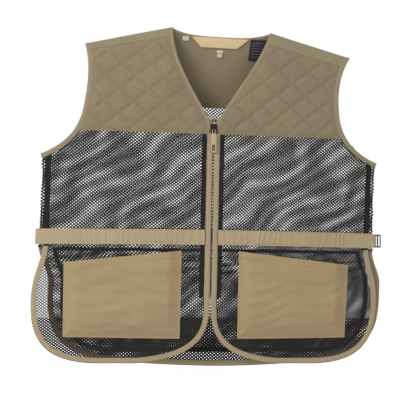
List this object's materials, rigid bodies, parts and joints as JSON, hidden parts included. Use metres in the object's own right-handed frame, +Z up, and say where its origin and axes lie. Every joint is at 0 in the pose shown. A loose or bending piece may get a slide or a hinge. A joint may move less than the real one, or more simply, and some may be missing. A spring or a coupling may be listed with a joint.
{
  "type": "field vest",
  "caption": "Sleeveless vest with quilted shoulder yokes, open black net body, front zip, patch pockets, waist belt with side buckles and a rear net pouch.",
  "frame": {"origin": "midway between the two neck points, where the shoulders carry the vest", "axes": "+Z up, +X towards the wearer's left, the front faces -Y"},
  "size_m": [0.6529, 0.0975, 0.6311],
  "materials": {
    "khaki_quilt": "quilted woven cotton blend, matt",
    "khaki_plain": "plain woven cotton blend, matt",
    "black_net": "open knitted polyester net",
    "binding_tape": "folded woven tape, matt",
    "pocket_cloth": "plain woven cotton blend, matt",
    "belt_cloth": "gathered and flat woven cotton blend, matt",
    "black_tape": "black woven tape, matt",
    "zip_tape": "woven zip tape",
    "zip_coil": "nylon coil",
    "zip_metal": "black enamel",
    "zip_pull": "tan enamel",
    "zip_end": "moulded",
    "black_plastic": "moulded, slightly glossy",
    "cream_label": "woven label",
    "white_label": "woven label",
    "black_label": "woven satin label"
  },
  "bodies": {
    "vest": {"back_yoke": "khaki_plain", "back_net": "black_net", "back_skirt_net": "black_net", "front_yoke_left": "khaki_quilt", "front_yoke_right": "khaki_quilt", "shoulder_pad_left": "khaki_quilt", "shoulder_pad_right": "khaki_quilt", "front_net_left": "black_net", "front_net_right": "black_net", "side_seam_tape_left": "black_tape", "side_seam_tape_right": "black_tape", "neck_binding": "binding_tape", "armhole_binding_left": "binding_tape", "armhole_binding_right": "binding_tape", "front_binding_left": "binding_tape", "front_binding_right": "binding_tape", "back_hem_binding": "binding_tape", "zip_tape_left": "zip_tape", "zip_tape_right": "zip_tape", "stay_tape_left": "black_tape", "stay_tape_right": "black_tape", "zip_coil_left": "zip_coil", "zip_coil_right": "zip_coil", "zip_top_stop_left": "zip_metal", "zip_top_stop_right": "zip_metal", "zip_box": "zip_end", "zip_pin": "zip_end", "belt_front_left": "belt_cloth", "belt_front_right": "belt_cloth", "belt_end_left": "belt_cloth", "belt_end_right": "belt_cloth", "belt_back": "belt_cloth", "buckle_loop_left": "belt_cloth", "buckle_loop_right": "belt_cloth", "pocket_left": "pocket_cloth", "pocket_right": "pocket_cloth", "rear_pouch": "black_net", "neck_label": "cream_label", "size_label": "white_label", "laundry_tab": "white_label", "care_label": "black_label"},
    "slider": {"zip_slider": "zip_metal", "zip_slider_rear_wing": "zip_metal"},
    "pull": {"zip_pull": "zip_pull"},
    "buckle_left": {"buckle_left": "black_plastic"},
    "buckle_right": {"buckle_right": "black_plastic"}
  },
  "joints": [
    {"name": "zip_slide", "type": "slide", "parent": "vest", "child": "slider", "axis": [-0.0206, 0, -0.9998], "range_m": [0, 0.3]},
    {"name": "pull_swing", "type": "hinge", "parent": "slider", "child": "pull", "pos_m": [-0.01451, -0.0401, -0.1849], "axis": [-0.9998, 0, 0.0206], "range_deg": [0, 170]},
    {"name": "buckle_left_swing", "type": "hinge", "parent": "vest", "child": "buckle_left", "pos_m": [0.2844, 0, -0.39165], "axis": [0, 0, 1], "range_deg": [-80, 80]},
    {"name": "buckle_right_swing", "type": "hinge", "parent": "vest", "child": "buckle_right", "pos_m": [-0.29924, 0.01607, -0.3823], "axis": [0, 0, 1], "range_deg": [0, 95]}
  ]
}
